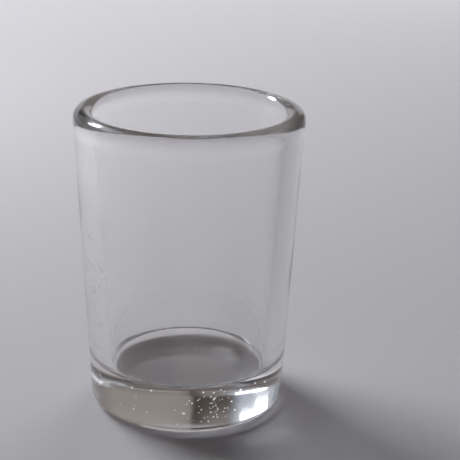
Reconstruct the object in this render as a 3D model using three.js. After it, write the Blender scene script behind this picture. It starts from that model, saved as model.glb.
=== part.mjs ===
// A small pressed drinking glass: one piece of clear soda-lime glass with a thick tapered wall, a fire-polished
// lip that is round all over, a heavy solid foot with a bevelled edge, and a shallow hollow under it.
// Millimetres, +Z up. The origin is the centre of the ring that the glass stands on.
// The whole glass is one revolve, because the real one is pressed from a single gob and has no joint.
import * as THREE from "three";

// Driving dimensions.
const HEIGHT = 60; // standing plane to the top of the lip
const LIP_DIAMETER = 44.3; // over the widest point of the lip
const LIP_THICKNESS = 3.8; // from the outside of the lip to the bowl
const NECK_DEPTH = 0.2; // how far the wall lies inside the lip, where the lip was melted round
const NECK_HEIGHT = 4.2; // from the top of the lip down to where the plain wall starts
const FOOT_DIAMETER = 38.5; // over the foot, just above its round edge
const EDGE_WIDTH = 4.0; // bevel and round edge under the foot, from the standing ring out to the wall
const EDGE_RISE = 0.75; // how far the bevel rises on its way to the wall
const EDGE_RADIUS = 1.7; // round from the bevel into the wall
const BEVEL_RADIUS = 9; // soft round from the standing ring into the bevel
const WALL_AT_FLOOR = 4.2; // the wall is thickest at the floor of the bowl, so that the press can draw out
const FLOOR_THICKNESS = 8.9; // solid glass under the bowl
const FLOOR_CORNER_RADIUS = 1.5; // inside corner between the floor and the wall
const STANDING_RING_WIDTH = 2.2; // flat ring that touches the table
const RECESS_DEPTH = 0.25; // hollow under the foot, at its middle
const SOFTENING_RADIUS = 8; // edge between the standing ring and the hollow, polished by use

const NECK_RADIUS = 6; // soft rounds where the neck leaves the wall and where it meets the lip
const FOOT_MEASURED_AT = 2.2; // height at which the foot's diameter is measured

// Facets: round the axis, and along each turn of the outline.
const FACETS_ROUND = 84;
const LIP_STEPS = 8;
const CURVE_STEPS = 6;
const SOFT_STEPS = 3;

// Outer wall: a straight taper from the foot to the neck under the lip.
const lipEdge = LIP_DIAMETER / 2;
const footEdge = FOOT_DIAMETER / 2;
const neck = [lipEdge - NECK_DEPTH, HEIGHT - NECK_HEIGHT];
const outerLean = (neck[0] - footEdge) / (neck[1] - FOOT_MEASURED_AT);
const outerRadiusAt = (z) => footEdge + (z - FOOT_MEASURED_AT) * outerLean;

// The lip is round from its outside, over the top and into the bowl, and widest a little below that round.
const lipRadius = 0.48 * LIP_THICKNESS;
const lipWidestAt = HEIGHT - 0.62 * NECK_HEIGHT;

// Bowl: a straight taper too, from the floor's corner to the inner side of the lip.
const bowlTop = lipEdge - LIP_THICKNESS;
const cornerTop = FLOOR_THICKNESS + FLOOR_CORNER_RADIUS;
const bowlAtCorner = outerRadiusAt(cornerTop) - WALL_AT_FLOOR;
const innerLean = (bowlTop - bowlAtCorner) / (HEIGHT - cornerTop);
const bowlFoot = bowlAtCorner - FLOOR_CORNER_RADIUS * innerLean;

// Underside: a shallow dome, the standing ring, and the bevel out to the wall.
const ringOuter = footEdge - EDGE_WIDTH;
const ringInner = ringOuter - STANDING_RING_WIDTH;
const domeRadius = (0.48 * ringInner ** 2) / RECESS_DEPTH; // one arc from near the axis to near the ring

// The corners of half a section, from the axis under the glass round to the axis on the floor of the bowl:
// distance from the axis, height, radius of the corner, and how many facets its turn has.
const CORNERS = [
  [0, RECESS_DEPTH, 0, 0],
  [ringInner / 2, RECESS_DEPTH, domeRadius, CURVE_STEPS],
  [ringInner, 0, SOFTENING_RADIUS, SOFT_STEPS],
  [ringOuter, 0, BEVEL_RADIUS, SOFT_STEPS],
  [outerRadiusAt(EDGE_RISE), EDGE_RISE, EDGE_RADIUS, CURVE_STEPS],
  [...neck, NECK_RADIUS, SOFT_STEPS],
  [lipEdge, lipWidestAt, NECK_RADIUS, SOFT_STEPS],
  [lipEdge, HEIGHT, lipRadius, LIP_STEPS],
  [bowlTop, HEIGHT, lipRadius, LIP_STEPS],
  [bowlFoot, FLOOR_THICKNESS, FLOOR_CORNER_RADIUS, CURVE_STEPS],
  [0, FLOOR_THICKNESS, 0, 0],
];

// The arc that rounds one corner between its two neighbours, as points from the first side to the second.
function cornerPoints([before, corner, after], radius, steps) {
  const toBefore = before.clone().sub(corner).normalize();
  const toAfter = after.clone().sub(corner).normalize();
  const halfInside = Math.acos(toBefore.dot(toAfter)) / 2;
  const halfTurn = Math.PI / 2 - halfInside;
  const middle = toBefore.clone().add(toAfter).normalize();
  const centre = corner.clone().addScaledVector(middle, radius / Math.sin(halfInside));
  const outward = middle.clone().negate();
  const side = Math.sign(toBefore.cross(toAfter));
  return Array.from({ length: steps + 1 }, (_, i) => {
    const turn = side * halfTurn * (1 - (2 * i) / steps);
    return outward.clone().rotateAround(new THREE.Vector2(), turn).multiplyScalar(radius).add(centre);
  });
}

// The whole outline, with each corner turned into its arc.
function outline() {
  const places = CORNERS.map(([x, z]) => new THREE.Vector2(x, z));
  return CORNERS.flatMap(([, , radius, steps], i) =>
    radius ? cornerPoints(places.slice(i - 1, i + 2), radius, steps) : [places[i]],
  );
}

const clearGlass = new THREE.MeshStandardMaterial({
  name: "clear_glass",
  color: 0xe9eeee,
  roughness: 0.03,
  metalness: 0,
  transparent: true,
  opacity: 0.35,
});

const glassGeometry = new THREE.LatheGeometry(outline(), FACETS_ROUND);
glassGeometry.rotateX(Math.PI / 2); // a lathe turns about Y, and the glass stands along Z

const tumbler = new THREE.Mesh(glassGeometry, clearGlass);
tumbler.name = "tumbler";

const drinkingGlass = new THREE.Group();
drinkingGlass.name = "drinking_glass";
drinkingGlass.add(tumbler);

export default drinkingGlass;
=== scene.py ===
"""Looks of a small pressed drinking glass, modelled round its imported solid.

The glass is one piece: a straight tapered wall, a fire-polished lip, a thick solid foot with a bevelled
edge, and a shallow hollow under it. The foot holds the seeds, which are the tiny bubbles of air that stay in
such glass. Metres, +Z up, with the origin at the centre of the ring that the glass stands on.
"""

import math
import random

import bmesh
import bpy
from mathutils import Matrix, Vector, noise


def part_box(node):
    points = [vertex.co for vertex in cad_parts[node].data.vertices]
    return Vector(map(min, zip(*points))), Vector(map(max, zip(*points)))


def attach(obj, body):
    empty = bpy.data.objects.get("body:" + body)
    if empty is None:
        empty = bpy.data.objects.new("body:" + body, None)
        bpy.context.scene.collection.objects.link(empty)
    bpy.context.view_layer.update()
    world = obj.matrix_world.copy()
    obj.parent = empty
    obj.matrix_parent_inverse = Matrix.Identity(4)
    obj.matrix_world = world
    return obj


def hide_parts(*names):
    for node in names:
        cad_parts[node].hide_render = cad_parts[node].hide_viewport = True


bl_info = {
    "name": "Drinking Glass",
    "version": (1, 0, 0),
    "blender": (4, 5, 0),
    "location": "View3D > Sidebar > Glass",
    "description": "Makes a small pressed drinking glass with its seeds, and a plain studio round it",
    "category": "Add Mesh",
}

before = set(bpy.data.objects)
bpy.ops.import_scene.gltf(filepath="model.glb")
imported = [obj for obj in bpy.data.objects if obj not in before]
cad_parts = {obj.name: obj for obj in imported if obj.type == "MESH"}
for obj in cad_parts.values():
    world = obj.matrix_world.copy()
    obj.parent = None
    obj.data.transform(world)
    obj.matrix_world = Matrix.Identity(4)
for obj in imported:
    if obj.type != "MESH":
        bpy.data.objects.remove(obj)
cad_low, cad_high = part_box("tumbler")
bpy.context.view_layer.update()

MM = 0.001
FULL_TURN = 2 * math.pi
QUARTER_TURN = math.pi / 2

# The outline and its revolve
FOOT_MEASURED_AT = 2.2 * MM  # height at which the foot's diameter is measured
LIP_ROUND = 0.48  # radius of the lip, as a share of its thickness
LIP_WIDEST = 0.62  # how far below its top the lip is widest, as a share of the neck's height
HOLLOW_ROUND = 0.48  # makes the hollow one arc from near the axis to near the standing ring
STEPS_IN_CORNER = 12
STEPS_ROUND = 256
STEP_ALONG = 1.2 * MM  # longest straight step between two corners
SAME_PLACE = 0.001 * MM  # corners closer than this are one
WAVES_FROM = 3 * MM  # the skin wanders in full above this height, and less under it

# The skin of the glass
RUBBED_BELOW = 0.8 * MM
SCRATCHED_PLACE = (-18 * MM, -6 * MM, 27 * MM)
SCRATCHED_REACH = 11 * MM  # the scratches lie this near to that place
SCRATCHED_FADE = 2 * MM
SCRATCH_STRETCH = (6.5 * MM, 6.5 * MM, 0.5 * MM)  # size of the noise that draws them, longest along them
SCRATCH_SLANT = (math.radians(5), math.radians(25), 0)
SCRATCH_SHIFT = (0, 0, -12 * MM)
SCRATCH_FROM = 0.72  # only the few peaks of the noise above this are scratches
SCRATCH_FULL = 0.76

# The seeds
SEED_DEPTH = 0.6 * MM  # a seed's middle stays this far from the wall, the standing plane and the bowl
CLUSTER_TURN = math.radians(19)  # from the front of the glass to its right
SEED_DRAW = 7  # which chance places the seeds
SEED_SORTING = 3  # the higher it is, the more of the seeds are small

# The plain surround of the studio, from its foot to its top, and the panels in the order in which they are
# laid over it: the left and right side of each in degrees from straight behind the glass, its foot and head
# in degrees up from the floor, how many degrees wide its soft edges are, and its colour
SURROUND_FOOT = "#988D88"
SURROUND_TOP = "#4E4744"
DARK_PANEL = "#2E2825"
BRIGHT_PANEL = "#EEF2FA"
PANELS = (
    (-180, -80, 22, 70, 6, DARK_PANEL),
    (140, 180, 30, 60, 6, DARK_PANEL),
    (-85, 18, -20, 15, 3, "#E6E4E8"),
    (-4, 80, 14, 60, 3, "#8F8883"),
    (46, 84, 14, 60, 20, "#746D69"),
    (2, 40, 30, 60, 12, "#9C9692"),
    (-34, -4, 14, 60, 3, "#463F3B"),
    (-34, -10, 28, 60, 12, "#857F7C"),
    (-76, -24, 12, 50, 10, "#A4AAB6"),
    (-62, -36, 23, 44, 8, "#D2D6DE"),
    (-36, -26, 29, 44, 8, "#D2D6DE"),
    (-54, -40, 29, 39, 2, BRIGHT_PANEL),
    (-40, -30, 33, 39, 2, BRIGHT_PANEL),
)

# The soft lamps: degrees from straight behind the glass, degrees up from the floor, distance from the glass
# and width in millimetres, and watts
LAMPS = (
    ("key_lamp", -47, 33, 850, 450, 5.4),
    ("near_left_lamp", -55, 18, 320, 260, 0.26),
    ("back_lamp", 18, 20, 1000, 500, 4.2),
)
TWIN_GAP = 5 * MM  # a lamp's twin stands this much nearer the glass
FLOOR_MET = 0.5  # a diffuse depth above this means that the light has met the floor

# The floor and the camera
FLOOR_RADIUS = 3000 * MM
FLOOR_STEPS = 64
FLOOR_ROUGHNESS = 0.8
FLOOR_SHEEN = 0.2
SENSOR_WIDTH = 36
PICTURE_WIDTH = 460
NEAREST_SEEN = 10 * MM
FARTHEST_SEEN = 10000 * MM
BOUNCES = 64


def linear(hex_colour):
    """A colour written as sRGB hex, turned by the sRGB curve to the linear values that shaders take."""
    parts = [int(hex_colour[i : i + 2], 16) / 255 for i in (1, 3, 5)]
    return [c / 12.92 if c <= 0.04045 else ((c + 0.055) / 1.055) ** 2.4 for c in parts] + [1.0]


def length(label, description, millimetres):
    """A length that the panel shows and a user may change."""
    return bpy.props.FloatProperty(
        name=label,
        description=description,
        default=millimetres * MM,
        min=0,
        unit="LENGTH",
        subtype="DISTANCE",
        precision=5,
    )


def angle(label, description, degrees):
    """An angle that the panel shows."""
    return bpy.props.FloatProperty(
        name=label,
        description=description,
        default=math.radians(degrees),
        unit="ROTATION",
        subtype="ANGLE",
    )


def share(label, description, value):
    """A number from 0 to 1 that the panel shows."""
    return bpy.props.FloatProperty(
        name=label,
        description=description,
        default=value,
        min=0,
        max=1,
        subtype="FACTOR",
    )


def number(label, description, value):
    """A plain number that the panel shows."""
    return bpy.props.FloatProperty(name=label, description=description, default=value, min=0)


def count(label, description, value):
    """A whole number that the panel shows."""
    return bpy.props.IntProperty(name=label, description=description, default=value, min=0)


def colour(label, description, hex_colour):
    """A colour that the panel shows, written as sRGB hex."""
    return bpy.props.FloatVectorProperty(
        name=label,
        description=description,
        default=linear(hex_colour),
        size=4,
        min=0,
        max=1,
        subtype="COLOR",
    )


class GlassSizes(bpy.types.PropertyGroup):
    """The shape of the glass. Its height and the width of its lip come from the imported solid."""

    height: length("Height", "Standing plane to the top of the lip", (cad_high.z - cad_low.z) / MM)
    lip_diameter: length("Lip diameter", "Over the widest point of the lip", (cad_high.x - cad_low.x) / MM)
    lip_thickness: length("Lip thickness", "From the outside of the lip to the bowl", 3.8)
    neck_depth: length("Neck depth", "How far the wall lies inside the lip, which was melted round", 0.2)
    neck_height: length("Neck height", "From the top of the lip down to the plain wall", 4.2)
    neck_radius: length("Neck radius", "Soft rounds at the neck's foot and where it meets the lip", 6.0)
    foot_diameter: length("Foot diameter", "Over the foot, just above its round edge", 38.5)
    edge_width: length("Edge width", "Bevel and round edge under the foot, measured across", 4.0)
    edge_rise: length("Edge rise", "How far the bevel under the foot rises", 0.75)
    bevel_radius: length("Bevel radius", "Round from the standing ring to the bevel", 9.0)
    edge_radius: length("Edge radius", "Round from the bevel to the wall", 1.7)
    wall_at_floor: length("Wall at the floor", "Thickness of the wall at the floor of the bowl", 4.2)
    floor_thickness: length("Floor thickness", "Solid glass under the middle of the bowl", 8.9)
    floor_corner: length("Floor corner radius", "Inside corner between the floor and the wall", 1.5)
    ring_width: length("Standing ring width", "Flat ring that touches the table", 2.2)
    recess_depth: length("Recess depth", "Hollow under the foot, at its middle", 0.25)
    softening: length("Softening radius", "Edge between the standing ring and the hollow", 8.0)
    waviness: length("Waviness", "How far the pressed surface wanders from a true revolve", 0.04)
    wave_length: length("Wave length", "Distance over which the surface wanders", 14)


class GlassFinish(bpy.types.PropertyGroup):
    """The glass itself."""

    body: colour("Body", "Colour that long ways through the glass turn to", "#CCCBC9")
    body_density: number("Body density", "Absorption in each metre", 8)
    underside: share("Underside", "Roughness of the rubbed underside", 0.1)
    scratches: share("Scratches", "Roughness of the scratches", 0.5)
    # Strength of the painted glint, an emission that makes each seed glow as a bright speck in place of
    # light it throws back
    painted_glint: number("Glint", "Light that each seed throws back", 0.25)
    ior: number("IOR", "How strongly soda-lime glass bends light", 1.52)


class SeedSizes(bpy.types.PropertyGroup):
    """The seeds, which are the tiny bubbles of air in the foot."""

    clustered: count("Clustered", "Seeds in the cluster", 46)
    scattered: count("Scattered", "Seeds in the rest of the foot", 44)
    largest: length("Largest", "Diameter of the largest seed", 0.50)
    smallest: length("Smallest", "Diameter of the smallest seed", 0.20)
    cluster_radius: length("Cluster radius", "From the axis to the middle of the cluster", 16.6)
    cluster_spread: length("Cluster spread", "How far the seeds lie from the middle of their cluster", 2.4)


class StudioSettings(bpy.types.PropertyGroup):
    """The plain floor, the soft light and the camera."""

    floor: colour("Floor", "Plain pale floor", "#C9C8CD")
    floor_gap: length("Floor gap", "How far the floor lies under the glass", 0.05)
    lamps: number("Lamps", "Strength of the soft lamps", 1)
    through_glass: share("Through the glass", "Share of the lamps' light that the glass lets through", 0.15)
    surround_on_floor: share("On the floor", "Share of the surround's light that the floor takes", 0.2)
    bright_panel: number("Bright panel", "Strength of the bright panel that the glass shows", 30)
    camera_distance: length("Camera distance", "From the glass's axis to the camera, level", 255)
    camera_height: length("Camera height", "Above the floor", 124.64)
    camera_side: length("Camera side", "How far the camera stands to the right of the glass", 8.18)
    camera_pitch: angle("Camera pitch", "Downwards", 19.2743)
    camera_roll: angle("Camera roll", "Clockwise", 1.2261)
    lens: number("Lens", "Focal length in pixels of the picture", 1378.6)


def outline_corners(sizes):
    """The corners of half a section, each with its distance from the axis, its height and its radius.

    They run from the axis under the glass round to the axis on the floor of the bowl.
    """
    lip = sizes.lip_diameter / 2
    lip_radius = LIP_ROUND * sizes.lip_thickness
    lip_widest = sizes.height - LIP_WIDEST * sizes.neck_height
    bowl_top = lip - sizes.lip_thickness
    foot = sizes.foot_diameter / 2
    neck = (lip - sizes.neck_depth, sizes.height - sizes.neck_height)
    lean = (neck[0] - foot) / (neck[1] - FOOT_MEASURED_AT)
    foot_at_bevel = foot + (sizes.edge_rise - FOOT_MEASURED_AT) * lean
    ring_outer = foot - sizes.edge_width
    ring_inner = ring_outer - sizes.ring_width
    hollow_radius = HOLLOW_ROUND * ring_inner**2 / sizes.recess_depth
    corner_top = sizes.floor_thickness + sizes.floor_corner
    bowl_at_corner = foot + (corner_top - FOOT_MEASURED_AT) * lean - sizes.wall_at_floor
    bowl_lean = (bowl_top - bowl_at_corner) / (sizes.height - corner_top)
    bowl_foot = bowl_at_corner - sizes.floor_corner * bowl_lean
    return (
        (0, sizes.recess_depth, 0),
        (ring_inner / 2, sizes.recess_depth, hollow_radius),
        (ring_inner, 0, sizes.softening),
        (ring_outer, 0, sizes.bevel_radius),
        (foot_at_bevel, sizes.edge_rise, sizes.edge_radius),
        (*neck, sizes.neck_radius),
        (lip, lip_widest, sizes.neck_radius),
        (lip, sizes.height, lip_radius),
        (bowl_top, sizes.height, lip_radius),
        (bowl_foot, sizes.floor_thickness, sizes.floor_corner),
        (0, sizes.floor_thickness, 0),
    )


def wire_outline(sizes):
    """Half a section through the glass, as a wire in the XZ plane with every corner rounded."""
    corners = outline_corners(sizes)
    bm = bmesh.new()
    verts = [bm.verts.new((x, 0, z)) for x, z, _ in corners]
    for a, b in zip(verts, verts[1:]):
        bm.edges.new((a, b))
    places = [vert.co.copy() for vert in verts]
    for i in range(1, len(corners) - 1):
        turn = (places[i] - places[i - 1]).angle(places[i + 1] - places[i])
        bmesh.ops.bevel(
            bm,
            geom=[verts[i]],
            offset=corners[i][2] * math.tan(turn / 2),
            offset_type="OFFSET",
            segments=STEPS_IN_CORNER,
            profile=0.5,
            affect="VERTICES",
            material=-1,
        )
    for edge in bm.edges[:]:
        cuts = int(edge.calc_length() / STEP_ALONG)
        if cuts:
            bmesh.ops.subdivide_edges(bm, edges=[edge], cuts=cuts)
    return bm


def make_piece(bm, name, material):
    """Turns a finished bmesh into a piece of the glass that rides on its one body."""
    for face in bm.faces:
        face.smooth = True
    mesh = bpy.data.meshes.new(name)
    bm.to_mesh(mesh)
    bm.free()
    mesh.materials.append(material)
    piece = bpy.data.objects.new(name, mesh)
    bpy.context.scene.collection.objects.link(piece)
    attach(piece, "root")
    return piece


def add_node(tree, kind, settings=None, values=(), **inputs):
    """Adds a node, sets its properties, and sets or links its inputs: first those in order, then by name."""
    node = tree.nodes.new(kind)
    for key, value in (settings or {}).items():
        setattr(node, key, value)
    for key, value in [*enumerate(values), *inputs.items()]:
        socket = node.inputs[key if isinstance(key, int) else key.replace("_", " ")]
        if isinstance(value, bpy.types.NodeSocket):
            tree.links.new(value, socket)
        else:
            socket.default_value = value
    return node


def new_material(name):
    """An empty node material and its tree."""
    material = bpy.data.materials.new(name)
    material.use_nodes = True
    material.node_tree.nodes.clear()
    return material, material.node_tree


def rubbed_underside(tree, place, roughness):
    """Roughness of the underside: tables and shelves have rubbed it, so it blurs what it mirrors."""
    split = add_node(tree, "ShaderNodeSeparateXYZ", values=[place])
    rubbed = add_node(
        tree,
        "ShaderNodeMapRange",
        {"interpolation_type": "SMOOTHSTEP"},
        Value=split.outputs["Z"],
        From_Min=RUBBED_BELOW,
        From_Max=RUBBED_BELOW / 2,
        To_Max=roughness,
    )
    return rubbed.outputs["Result"]


def hairline_scratches(tree, place, roughness):
    """Roughness of a few slanting hairlines, which other glasses left low on the left side of the wall."""
    stretched = add_node(
        tree,
        "ShaderNodeMapping",
        {"vector_type": "TEXTURE"},
        Vector=place,
        Location=SCRATCH_SHIFT,
        Rotation=SCRATCH_SLANT,
        Scale=SCRATCH_STRETCH,
    )
    hairs = add_node(tree, "ShaderNodeTexNoise", Vector=stretched.outputs["Vector"], Scale=1.0, Detail=1.0)
    scratched = add_node(
        tree,
        "ShaderNodeMapRange",
        Value=hairs.outputs["Fac"],
        From_Min=SCRATCH_FROM,
        From_Max=SCRATCH_FULL,
        To_Max=roughness,
    )
    away = add_node(tree, "ShaderNodeVectorMath", {"operation": "DISTANCE"}, (place, SCRATCHED_PLACE))
    there = add_node(
        tree,
        "ShaderNodeMapRange",
        Value=away.outputs["Value"],
        From_Min=SCRATCHED_REACH,
        From_Max=SCRATCHED_REACH - SCRATCHED_FADE,
    )
    both = (scratched.outputs["Result"], there.outputs["Result"])
    return add_node(tree, "ShaderNodeMath", {"operation": "MULTIPLY"}, both).outputs["Value"]


def pressed_soda_lime_glass(finish):
    """Soda-lime glass, pressed and then fire-polished: clear and bright, with a skin as smooth as water."""
    material, tree = new_material("pressed_soda_lime_glass")
    place = add_node(tree, "ShaderNodeTexCoord").outputs["Object"]
    worn = (
        rubbed_underside(tree, place, finish.underside),
        hairline_scratches(tree, place, finish.scratches),
    )
    roughness = add_node(tree, "ShaderNodeMath", {"operation": "ADD"}, worn)
    glass = add_node(
        tree,
        "ShaderNodeBsdfPrincipled",
        Base_Color=linear("#FFFFFF"),
        Roughness=roughness.outputs["Value"],
        IOR=finish.ior,
        Transmission_Weight=1.0,
    )
    # The iron in the sand takes a little light on long ways through the foot, which greys its dark lines
    body = add_node(tree, "ShaderNodeVolumeAbsorption", Color=finish.body, Density=finish.body_density)
    add_node(tree, "ShaderNodeOutputMaterial", Surface=glass.outputs["BSDF"], Volume=body.outputs["Volume"])
    return material


class GLASS_OT_tumbler(bpy.types.Operator):
    """Make the glass: a revolve of its outline, with its wall, lip, bowl and foot in one piece"""

    bl_idname = "glass.tumbler"
    bl_label = "Tumbler"

    def execute(self, context):
        sizes = context.scene.glass_sizes
        bm = wire_outline(sizes)
        bmesh.ops.spin(
            bm,
            geom=bm.verts[:] + bm.edges[:],
            cent=(0, 0, 0),
            axis=(0, 0, 1),
            angle=FULL_TURN,
            steps=STEPS_ROUND,
            use_merge=True,
        )
        bmesh.ops.remove_doubles(bm, verts=bm.verts, dist=SAME_PLACE)
        bmesh.ops.recalc_face_normals(bm, faces=bm.faces)
        # The mould was never quite true, and the fire that polished the glass moved its skin a little
        bm.normal_update()
        for vert in bm.verts:
            fade = min(1, vert.co.z / WAVES_FROM)
            vert.co += vert.normal * fade * sizes.waviness * noise.noise(vert.co / sizes.wave_length)
        piece = make_piece(bm, "tumbler_glass", pressed_soda_lime_glass(context.scene.glass_finish))
        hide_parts("tumbler")
        return {"FINISHED"}


def air_in_glass_painted_glint(finish):
    """Air in the glass, with a painted glint: each seed bends light as air in glass does, and a weak
    emission makes it glow as a bright speck.
    """
    material, tree = new_material("air_in_glass_painted_glint")
    skin = add_node(tree, "ShaderNodeBsdfGlass", Roughness=0.0, IOR=1 / finish.ior)
    # Painted glint: a seed gathers light from all round into a point too small to render, so a weak emission
    # paints that bright speck on it as a glow
    painted_glint = add_node(tree, "ShaderNodeEmission", Color=linear("#F4F6FA"), Strength=finish.painted_glint)
    both = add_node(tree, "ShaderNodeAddShader", values=(skin.outputs["BSDF"], painted_glint.outputs["Emission"]))
    add_node(tree, "ShaderNodeOutputMaterial", Surface=both.outputs["Shader"])
    return material


def in_foot(sizes, place):
    """True where a seed lies well inside the solid foot."""
    from_axis = math.hypot(place.x, place.y)
    foot = sizes.foot_diameter / 2
    under = max(0, from_axis - foot + sizes.edge_width)
    inside_wall = from_axis < foot - SEED_DEPTH
    above_bevel = place.z > SEED_DEPTH + under
    return inside_wall and above_bevel and place.z < sizes.floor_thickness - SEED_DEPTH


class GLASS_OT_seeds(bpy.types.Operator):
    """Make the seeds: a cluster near the skin of the foot, and single ones in the rest of it"""

    bl_idname = "glass.seeds"
    bl_label = "Seeds"

    def execute(self, context):
        sizes = context.scene.glass_sizes
        seeds = context.scene.glass_seeds
        chance = random.Random(SEED_DRAW)
        middle = Vector((0, -seeds.cluster_radius, sizes.floor_thickness / 2))
        cluster = Matrix.Rotation(CLUSTER_TURN, 3, "Z") @ middle
        reach = sizes.foot_diameter / 2
        places = []
        while len(places) < seeds.clustered:
            place = cluster + Vector([chance.gauss(0, seeds.cluster_spread) for _ in range(3)])
            if in_foot(sizes, place):
                places.append(place)
        while len(places) < seeds.clustered + seeds.scattered:
            across = [chance.uniform(-reach, reach) for _ in range(2)]
            place = Vector((*across, chance.uniform(0, sizes.floor_thickness)))
            if in_foot(sizes, place):
                places.append(place)
        bm = bmesh.new()
        for place in places:
            size = chance.random() ** SEED_SORTING
            radius = (seeds.smallest + (seeds.largest - seeds.smallest) * size) / 2
            bmesh.ops.create_icosphere(bm, subdivisions=1, radius=radius, matrix=Matrix.Translation(place))
        make_piece(bm, "seeds", air_in_glass_painted_glint(context.scene.glass_finish))
        return {"FINISHED"}


def soft_band(tree, turn, low, high, edge):
    """1 where the angle lies between two limits in degrees, and 0 outside them, with soft edges."""
    half = edge / 2
    rise = add_node(
        tree,
        "ShaderNodeMapRange",
        {"interpolation_type": "SMOOTHSTEP"},
        Value=turn,
        From_Min=math.radians(low - half),
        From_Max=math.radians(low + half),
    )
    fall = add_node(
        tree,
        "ShaderNodeMapRange",
        {"interpolation_type": "SMOOTHSTEP"},
        Value=turn,
        From_Min=math.radians(high + half),
        From_Max=math.radians(high - half),
    )
    both = (rise.outputs["Result"], fall.outputs["Result"])
    return add_node(tree, "ShaderNodeMath", {"operation": "MULTIPLY"}, both).outputs["Value"]


def surround_colours(tree, bright_panel):
    """The plain surround, darker towards its top, with the panels laid over it one after the other."""
    way = add_node(tree, "ShaderNodeTexCoord")
    split = add_node(tree, "ShaderNodeSeparateXYZ", values=[way.outputs["Generated"]])
    level = (split.outputs["X"], split.outputs["Y"])
    azimuth = add_node(tree, "ShaderNodeMath", {"operation": "ARCTAN2"}, level).outputs["Value"]
    arcsine = add_node(tree, "ShaderNodeMath", {"operation": "ARCSINE"}, [split.outputs["Z"]])
    up = arcsine.outputs["Value"]
    height = add_node(tree, "ShaderNodeMapRange", Value=up, From_Min=0, From_Max=QUARTER_TURN)
    plain = add_node(
        tree,
        "ShaderNodeMixRGB",
        Fac=height.outputs["Result"],
        Color1=linear(SURROUND_FOOT),
        Color2=linear(SURROUND_TOP),
    )
    colours = plain.outputs["Color"]
    for left, right, low, high, edge, hex_colour in PANELS:
        sides = soft_band(tree, azimuth, left, right, edge)
        rows = soft_band(tree, up, low, high, edge)
        mask = add_node(tree, "ShaderNodeMath", {"operation": "MULTIPLY"}, (sides, rows))
        strength = bright_panel if hex_colour == BRIGHT_PANEL else 1
        panel = [c * strength for c in linear(hex_colour)]
        shown = add_node(
            tree, "ShaderNodeMixRGB", Fac=mask.outputs["Value"], Color1=colours, Color2=panel,
        )
        colours = shown.outputs["Color"]
    return colours


def surround_strength(tree, on_floor):
    """Strength of the surround: in full where the glass shows it, and a share on the open floor.

    The lamps light the floor, so it takes only a share. Light that comes to it through the glass counts as
    glossy and as transmitted, which lets it through in full.
    """
    path = add_node(tree, "ShaderNodeLightPath")
    seen = path.outputs["Is Camera Ray"]
    for kind in ("Is Glossy Ray", "Is Transmission Ray"):
        total = add_node(tree, "ShaderNodeMath", {"operation": "ADD"}, (seen, path.outputs[kind]))
        seen = total.outputs["Value"]
    after_floor = (seen, path.outputs["Diffuse Depth"])
    left = add_node(tree, "ShaderNodeMath", {"operation": "SUBTRACT"}, after_floor)
    strength = add_node(
        tree, "ShaderNodeMapRange", Value=left.outputs["Value"], To_Min=on_floor, To_Max=1.0,
    )
    return strength.outputs["Result"]


class GLASS_OT_surround(bpy.types.Operator):
    """Make the plain surround with large soft panels that the glass mirrors and bends"""

    bl_idname = "glass.surround"
    bl_label = "Surround"

    def execute(self, context):
        studio = context.scene.glass_studio
        world = bpy.data.worlds.new("surround")
        context.scene.world = world
        world.use_nodes = True
        tree = world.node_tree
        tree.nodes.clear()
        light = add_node(
            tree,
            "ShaderNodeBackground",
            Color=surround_colours(tree, studio.bright_panel),
            Strength=surround_strength(tree, studio.surround_on_floor),
        )
        add_node(tree, "ShaderNodeOutputWorld", Surface=light.outputs["Background"])
        return {"FINISHED"}


def add_lamp(name, place, watts):
    """A square soft lamp that looks at the glass. Its place is two angles, a distance and a width."""
    azimuth, elevation, distance, width = place
    turn, rise = math.radians(azimuth), math.radians(elevation)
    level = math.cos(rise)
    direction = Vector((level * math.sin(turn), level * math.cos(turn), math.sin(rise)))
    lamp = bpy.data.lights.new(name, "AREA")
    lamp.shape = "SQUARE"
    lamp.size = width
    lamp.energy = watts
    holder = bpy.data.objects.new(name, lamp)
    holder.location = direction * distance
    holder.rotation_euler = direction.to_track_quat("Z", "Y").to_euler()
    holder.visible_camera = False
    bpy.context.scene.collection.objects.link(holder)
    return holder


def add_lamp_pair(name, place, watts, through_glass):
    """A soft lamp for the floor, and its twin, which is the share of its light that goes through the glass.

    The glass itself shows neither of them, because what it mirrors and bends is the surround. The twin
    shines only on ways that end on the floor, so that the shadow holds the light that the bowl and the foot
    gather.
    """
    direct = add_lamp(name, place, watts)
    direct.visible_glossy = False
    direct.visible_transmission = False
    azimuth, elevation, distance, width = place
    nearer = (azimuth, elevation, distance - TWIN_GAP, width)
    twin = add_lamp(name + "_through_glass", nearer, watts * through_glass)
    twin.visible_diffuse = False
    twin.data.use_nodes = True
    tree = twin.data.node_tree
    tree.nodes.clear()
    path = add_node(tree, "ShaderNodeLightPath")
    depth = (path.outputs["Diffuse Depth"], FLOOR_MET)
    on_floor = add_node(tree, "ShaderNodeMath", {"operation": "GREATER_THAN"}, depth)
    light = add_node(tree, "ShaderNodeEmission", Strength=on_floor.outputs["Value"])
    add_node(tree, "ShaderNodeOutputLight", Surface=light.outputs["Emission"])


def matt_paint(studio):
    """Pale matt paint, which takes soft shadows and mirrors next to nothing."""
    material, tree = new_material("pale_floor")
    paint = add_node(
        tree,
        "ShaderNodeBsdfPrincipled",
        Base_Color=studio.floor,
        Roughness=FLOOR_ROUGHNESS,
        Specular_IOR_Level=FLOOR_SHEEN,
    )
    add_node(tree, "ShaderNodeOutputMaterial", Surface=paint.outputs["BSDF"])
    return material


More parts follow.
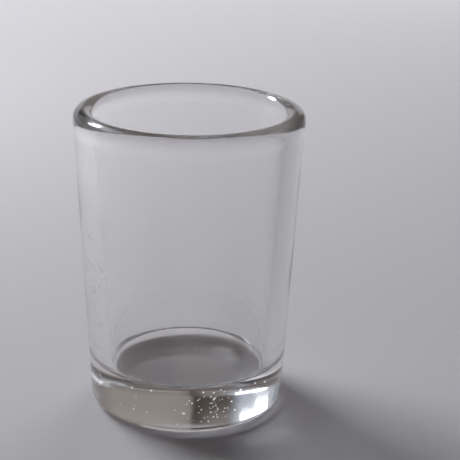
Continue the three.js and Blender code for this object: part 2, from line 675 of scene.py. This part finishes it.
def add_floor(studio):
    """The plain round floor, which lies a hair under the glass."""
    bm = bmesh.new()
    bmesh.ops.create_circle(bm, cap_ends=True, radius=FLOOR_RADIUS, segments=FLOOR_STEPS)
    bmesh.ops.translate(bm, verts=bm.verts, vec=(0, 0, -studio.floor_gap))
    mesh = bpy.data.meshes.new("floor")
    bm.to_mesh(mesh)
    bm.free()
    mesh.materials.append(matt_paint(studio))
    floor = bpy.data.objects.new("floor", mesh)
    bpy.context.scene.collection.objects.link(floor)


def add_camera(studio):
    """The camera, in front of the glass and looking down at it."""
    lens = bpy.data.cameras.new("camera")
    lens.sensor_width = SENSOR_WIDTH
    lens.lens = studio.lens * SENSOR_WIDTH / PICTURE_WIDTH
    lens.clip_start = NEAREST_SEEN
    lens.clip_end = FARTHEST_SEEN
    camera = bpy.data.objects.new("camera", lens)
    place = Matrix.Translation((studio.camera_side, -studio.camera_distance, studio.camera_height))
    pitch = Matrix.Rotation(QUARTER_TURN - studio.camera_pitch, 4, "X")
    roll = Matrix.Rotation(studio.camera_roll, 4, "Z")
    camera.matrix_world = place @ pitch @ roll
    bpy.context.scene.collection.objects.link(camera)
    bpy.context.scene.camera = camera


class GLASS_OT_studio(bpy.types.Operator):
    """Make the plain pale floor, the soft lamps and the camera"""

    bl_idname = "glass.studio"
    bl_label = "Studio"

    def execute(self, context):
        scene = context.scene
        studio = scene.glass_studio
        add_floor(studio)
        for name, azimuth, elevation, distance, width, watts in LAMPS:
            place = (azimuth, elevation, distance * MM, width * MM)
            add_lamp_pair(name, place, watts * studio.lamps, studio.through_glass)
        add_camera(studio)
        scene.view_settings.view_transform = "Standard"
        # Light runs to and fro many times inside the foot and the lip before it leaves them
        scene.cycles.max_bounces = BOUNCES
        scene.cycles.transmission_bounces = BOUNCES
        scene.cycles.glossy_bounces = BOUNCES
        scene.cycles.blur_glossy = 0
        return {"FINISHED"}


class GLASS_PT_panel(bpy.types.Panel):
    """Lists the sizes and the steps that make the glass"""

    bl_label = "Drinking glass"
    bl_idname = "GLASS_PT_panel"
    bl_space_type = "VIEW_3D"
    bl_region_type = "UI"
    bl_category = "Glass"

    def draw(self, context):
        for group in GROUPS:
            box = self.layout.box()
            settings = getattr(context.scene, group)
            for name in settings.bl_rna.properties.keys():
                if name not in ("rna_type", "name"):
                    box.prop(settings, name)
        for step in STEPS:
            self.layout.operator(step)


GROUPS = {
    "glass_sizes": GlassSizes,
    "glass_finish": GlassFinish,
    "glass_seeds": SeedSizes,
    "glass_studio": StudioSettings,
}
STEPS = ("glass.tumbler", "glass.seeds", "glass.surround", "glass.studio")
OPERATORS = (GLASS_OT_tumbler, GLASS_OT_seeds, GLASS_OT_surround, GLASS_OT_studio)
CLASSES = (*GROUPS.values(), *OPERATORS, GLASS_PT_panel)


def register():
    for cls in CLASSES:
        bpy.utils.register_class(cls)
    for name, group in GROUPS.items():
        setattr(bpy.types.Scene, name, bpy.props.PointerProperty(type=group))


def unregister():
    for name in GROUPS:
        delattr(bpy.types.Scene, name)
    for cls in reversed(CLASSES):
        bpy.utils.unregister_class(cls)


def main():
    register()
    bpy.ops.glass.tumbler()
    bpy.ops.glass.seeds()
    bpy.ops.glass.surround()
    bpy.ops.glass.studio()


if __name__ == "__main__":
    main()
